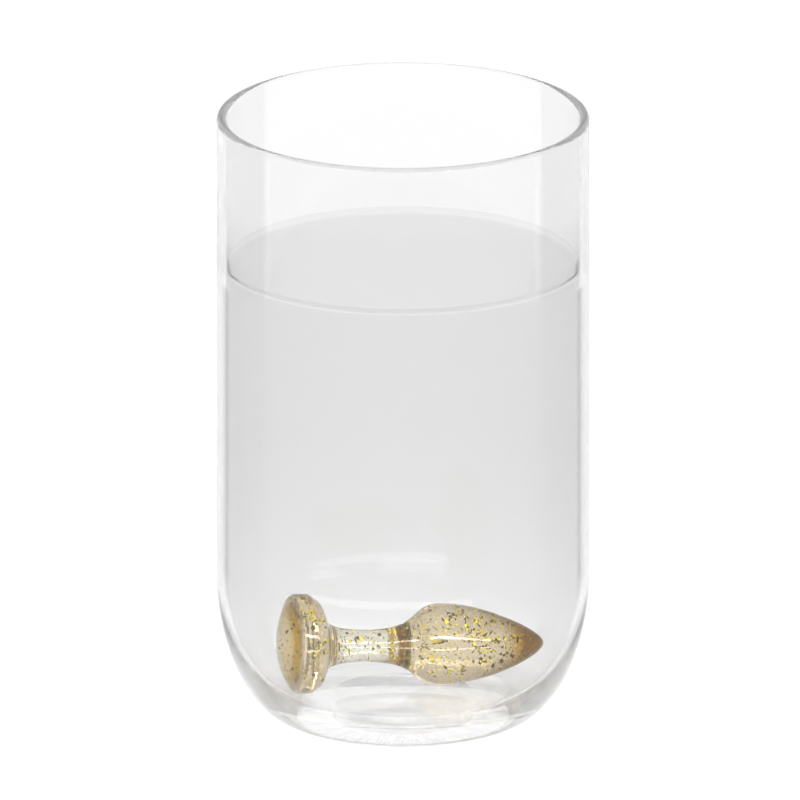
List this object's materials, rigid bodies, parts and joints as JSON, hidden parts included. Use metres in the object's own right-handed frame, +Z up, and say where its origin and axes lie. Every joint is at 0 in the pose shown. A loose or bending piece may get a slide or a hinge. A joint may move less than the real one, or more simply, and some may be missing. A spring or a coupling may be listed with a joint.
{
  "type": "drinking glass with a submerged plug",
  "caption": "Tall round-based drinking glass part filled with water, with a loose solid glass plug lying on its floor, gold flakes cast inside the plug.",
  "frame": {"origin": "centre of the ring that the glass stands on, at table level", "axes": "+Z up along the glass's axis; the plug lies roughly along +X, its foot at -X and its head at +X"},
  "size_m": [0.09, 0.09, 0.151],
  "materials": {
    "clear_glass": "polished",
    "water": "gloss",
    "champagne_glass": "polished",
    "gold_flake": "polished"
  },
  "bodies": {
    "glass": {"tumbler": "clear_glass", "water": "water"},
    "plug": {"plug": "champagne_glass", "gold_flakes_foot": "gold_flake", "gold_flakes_waist": "gold_flake", "gold_flakes_head": "gold_flake"}
  },
  "joints": [
    {"name": "plug_lift", "type": "slide", "parent": "glass", "child": "plug", "axis": [0, 0, 1], "range_m": [0, 0.165], "deforming": ["water"]}
  ]
}
